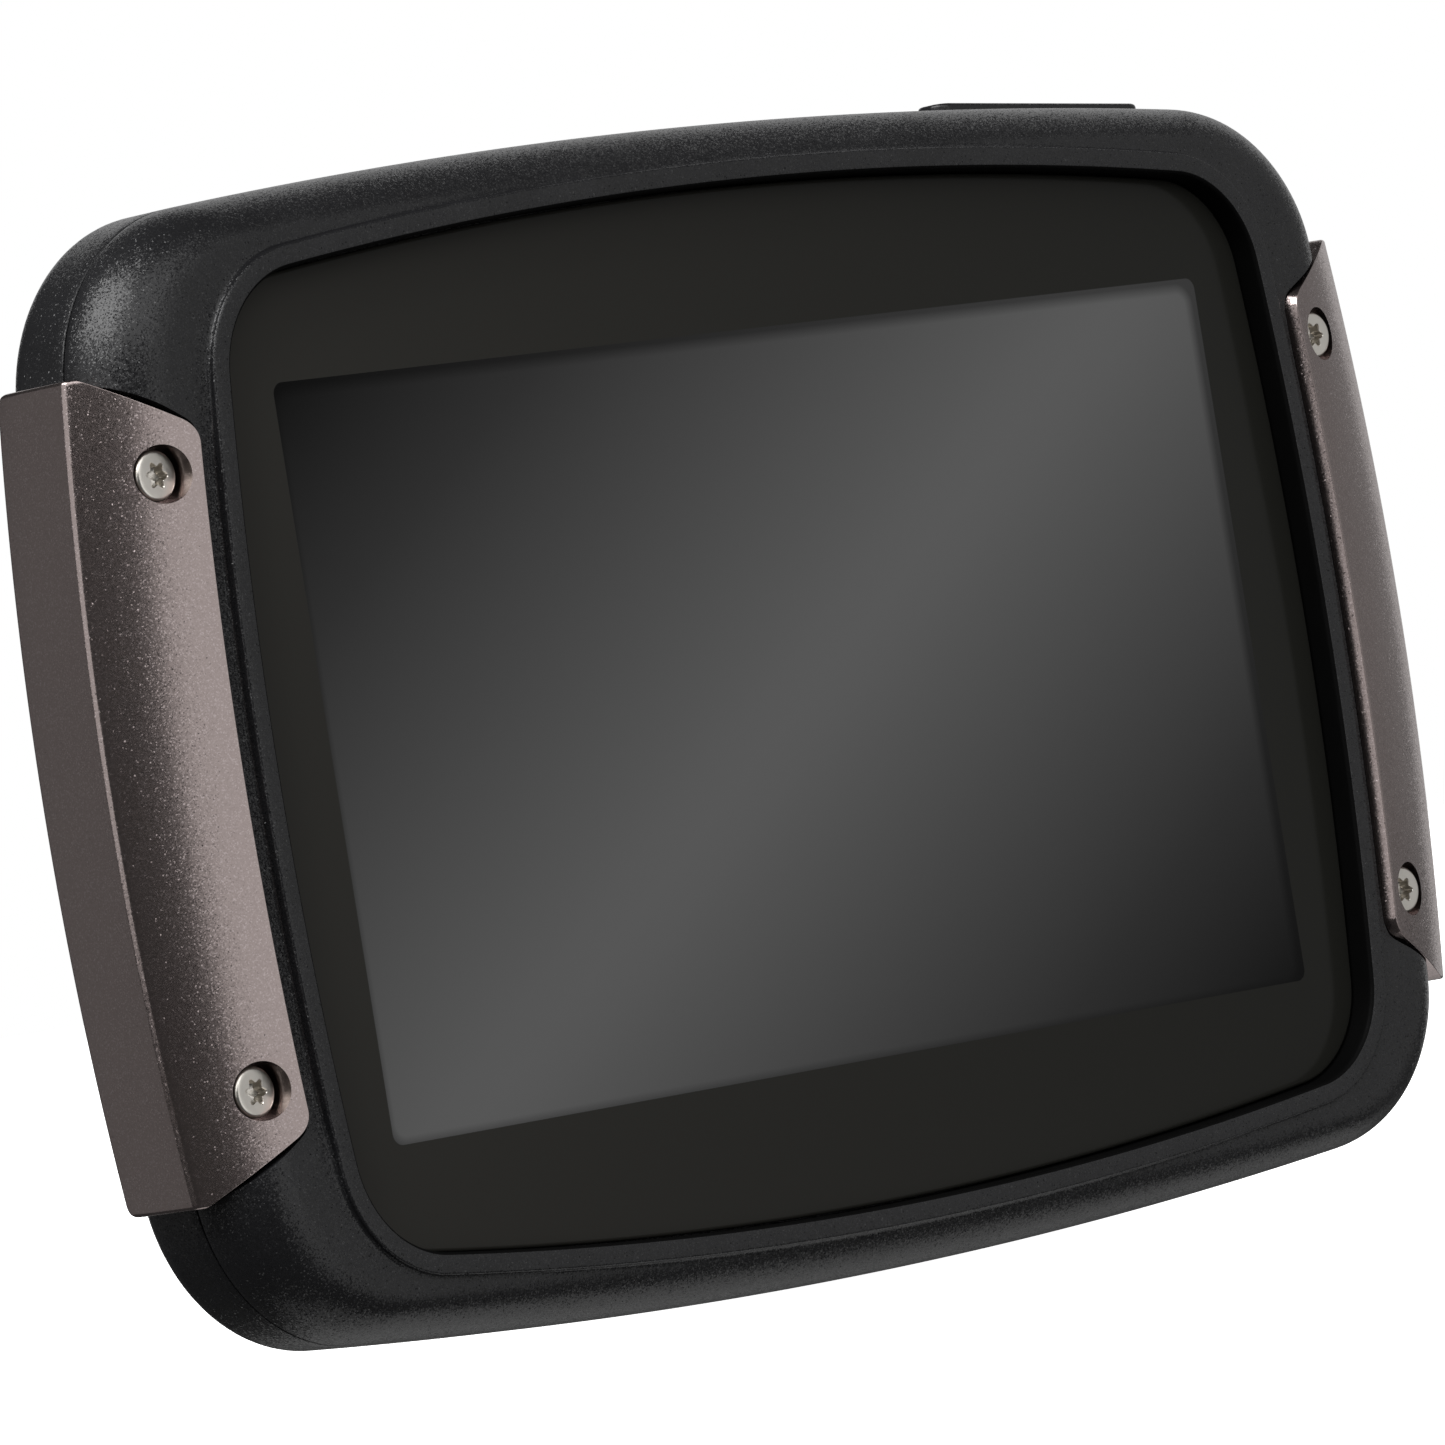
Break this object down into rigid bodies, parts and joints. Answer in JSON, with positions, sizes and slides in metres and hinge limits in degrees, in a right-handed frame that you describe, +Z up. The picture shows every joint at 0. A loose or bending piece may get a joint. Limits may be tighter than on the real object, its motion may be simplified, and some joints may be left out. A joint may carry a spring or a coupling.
{
  "type": "portable gps navigator",
  "caption": "Hand-sized landscape navigator: bowed black case, raised rim round a dark touch glass, metallic side grips held by screws, power key on top, dock block behind.",
  "frame": {"origin": "middle of the bounding box's base: the device stands upright on its bottom edge, at mid depth", "axes": "+X across the screen to the viewer's right, +Y from the screen to the back, +Z up"},
  "size_m": [0.137, 0.03, 0.0877],
  "materials": {
    "housing_plastic": "fine spark-eroded grain, charcoal black",
    "cap_plastic": "fine grain, charcoal black",
    "grip_paint": "metallic gunmetal bronze paint, fine speckle",
    "screw_steel": "satin stainless",
    "insert_brass": "turned",
    "cover_lens": "clear glass, dark printed border",
    "rubber_seal": "soft matt",
    "foam": "closed-cell foam",
    "clear_film": "clear laminated film",
    "display_cell": "dark polariser",
    "diffuser": "white diffuser",
    "pressed_metal": "pressed sheet, satin",
    "cast_frame": "die cast, light blast",
    "circuit_board": "green solder mask",
    "chip": "moulded epoxy",
    "tin_plate": "tinned steel",
    "ceramic": "fired ceramic",
    "cell_pouch": "foil pouch",
    "red_wire": "wire insulation",
    "nylon": "natural nylon",
    "flex_film": "amber film",
    "membrane": "white porous membrane",
    "gold_plate": "gold plated"
  },
  "bodies": {
    "case": {"front_housing": "housing_plastic", "rear_housing": "housing_plastic", "dock_block": "housing_plastic", "left_grip": "grip_paint", "right_grip": "grip_paint", "grip_screws": "screw_steel", "grip_inserts": "insert_brass", "cover_glass": "cover_lens", "lens_gasket": "foam", "touch_sensor": "clear_film", "touch_flex": "flex_film", "display_panel": "display_cell", "display_backlight": "diffuser", "display_frame": "pressed_metal", "display_flex": "flex_film", "mid_frame": "cast_frame", "main_board": "circuit_board", "board_screws": "screw_steel", "board_connectors": "nylon", "processor": "chip", "memory_chips": "chip", "radio_shield": "tin_plate", "power_shield": "tin_plate", "gnss_antenna": "ceramic", "wireless_antenna": "ceramic", "usb_socket": "tin_plate", "card_socket": "tin_plate", "battery": "cell_pouch", "battery_lead": "red_wire", "battery_connector": "nylon", "battery_pad": "foam", "tactile_switch": "chip", "button_seal": "rubber_seal", "case_seal": "rubber_seal", "case_screws": "screw_steel", "case_inserts": "insert_brass", "vent_membrane": "membrane", "dock_screws": "screw_steel", "dock_plate": "cap_plastic", "dock_contacts": "gold_plate", "dock_flex": "flex_film"},
    "button": {"power_button": "cap_plastic", "switch_plunger": "nylon"},
    "cover": {"port_cover": "rubber_seal"}
  },
  "joints": [
    {"name": "power_key_press", "type": "slide", "parent": "case", "child": "button", "axis": [-0.0695, 0, -0.9976], "range_m": [0, 0.0005], "stiffness_N_per_m": 2400},
    {"name": "port_cover_hinge", "type": "hinge", "parent": "case", "child": "cover", "pos_m": [0, -0.0069, 0.00115], "axis": [-1, 0, 0], "range_deg": [0, 95]}
  ]
}
